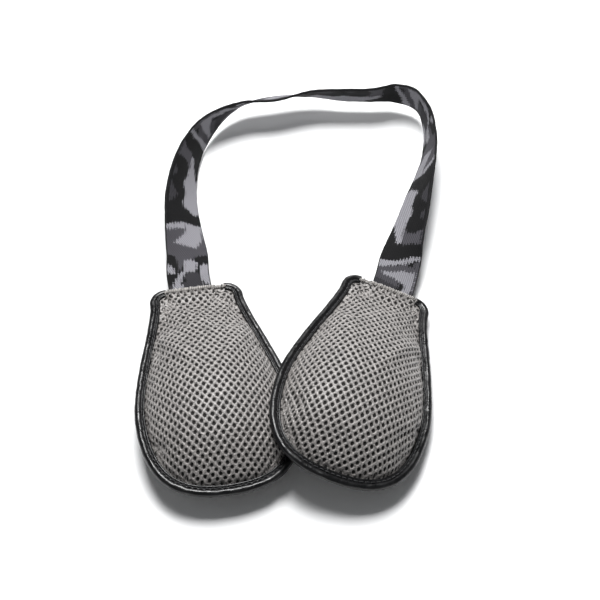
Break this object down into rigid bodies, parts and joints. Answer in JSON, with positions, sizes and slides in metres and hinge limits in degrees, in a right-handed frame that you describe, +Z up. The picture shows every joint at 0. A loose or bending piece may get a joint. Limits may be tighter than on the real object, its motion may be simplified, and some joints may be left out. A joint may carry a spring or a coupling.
{
  "type": "paired stuffed mesh pouch on an elastic strap",
  "caption": "Pear-shaped stuffed mesh pouches with leather-look bound edges, joined by one elastic webbing strap sewn into their mouths, lying on a table.",
  "frame": {"origin": "bottom centre of the whole object's box, on the table it lies on", "axes": "+Z up from the table, +Y from the pouches towards the strap's far run, +X from the left pouch to the right one"},
  "size_m": [0.1762, 0.3063, 0.0428],
  "materials": {
    "mesh": "warm grey spacer mesh with a staggered pattern of dark holes",
    "leather": "black leather-look tape, soft sheen, fine grain and wrinkles",
    "cord": "plain braided cotton cord, hidden in the binding",
    "liner": "thin off-white non-woven cloth",
    "filling": "loose granules and fibre, dark grey",
    "webbing": "elastic jacquard webbing, patches of black and greys in a fine twill",
    "thread": "black sewing thread",
    "lip": "rolled mesh hem, warm grey"
  },
  "bodies": {
    "strap_crown": {"strap_left_crown": "webbing"},
    "strap_crown_right": {"strap_right_crown": "webbing"},
    "left_leg": {"strap_left_leg": "webbing"},
    "right_leg": {"strap_right_leg": "webbing"},
    "left_pouch": {"left_front_panel": "mesh", "left_back_panel": "mesh", "left_edge_binding": "leather", "left_piping_cord": "cord", "left_front_liner": "liner", "left_back_liner": "liner", "left_filling": "filling", "left_front_lip": "lip", "left_back_lip": "lip", "left_mouth_stitch_1": "thread", "left_mouth_stitch_2": "thread", "left_mouth_stitch_3": "thread", "left_mouth_stitch_4": "thread", "left_strap_tail": "webbing"},
    "right_pouch": {"right_front_panel": "mesh", "right_back_panel": "mesh", "right_edge_binding": "leather", "right_piping_cord": "cord", "right_front_liner": "liner", "right_back_liner": "liner", "right_filling": "filling", "right_front_lip": "lip", "right_back_lip": "lip", "right_mouth_stitch_1": "thread", "right_mouth_stitch_2": "thread", "right_mouth_stitch_3": "thread", "right_mouth_stitch_4": "thread", "right_strap_tail": "webbing"}
  },
  "joints": [
    {"name": "strap_stretch", "type": "slide", "parent": "strap_crown", "child": "strap_crown_right", "axis": [1, 0, 0], "range_m": [0, 0.06], "stiffness_N_per_m": 80},
    {"name": "left_leg_spread", "type": "hinge", "parent": "strap_crown", "child": "left_leg", "pos_m": [-0.06025, 0.11455, 0.016], "axis": [0, 0, -1], "range_deg": [0, 40], "stiffness_Nm_per_rad": 0.4},
    {"name": "right_leg_spread", "type": "hinge", "parent": "strap_crown_right", "child": "right_leg", "pos_m": [0.08325, 0.12455, 0.0185], "axis": [0, 0, 1], "range_deg": [0, 40], "stiffness_Nm_per_rad": 0.4},
    {"name": "left_pouch_fold", "type": "hinge", "parent": "left_leg", "child": "left_pouch", "pos_m": [-0.06045, -0.01545, 0.0153], "axis": [0.9807, 0.1906, -0.0436], "range_deg": [0, 80], "stiffness_Nm_per_rad": 0.5},
    {"name": "right_pouch_fold", "type": "hinge", "parent": "right_leg", "child": "right_pouch", "pos_m": [0.05295, -0.01405, 0.0128], "axis": [-0.9308, 0.274, 0.2419], "range_deg": [0, 80], "stiffness_Nm_per_rad": 0.5}
  ]
}
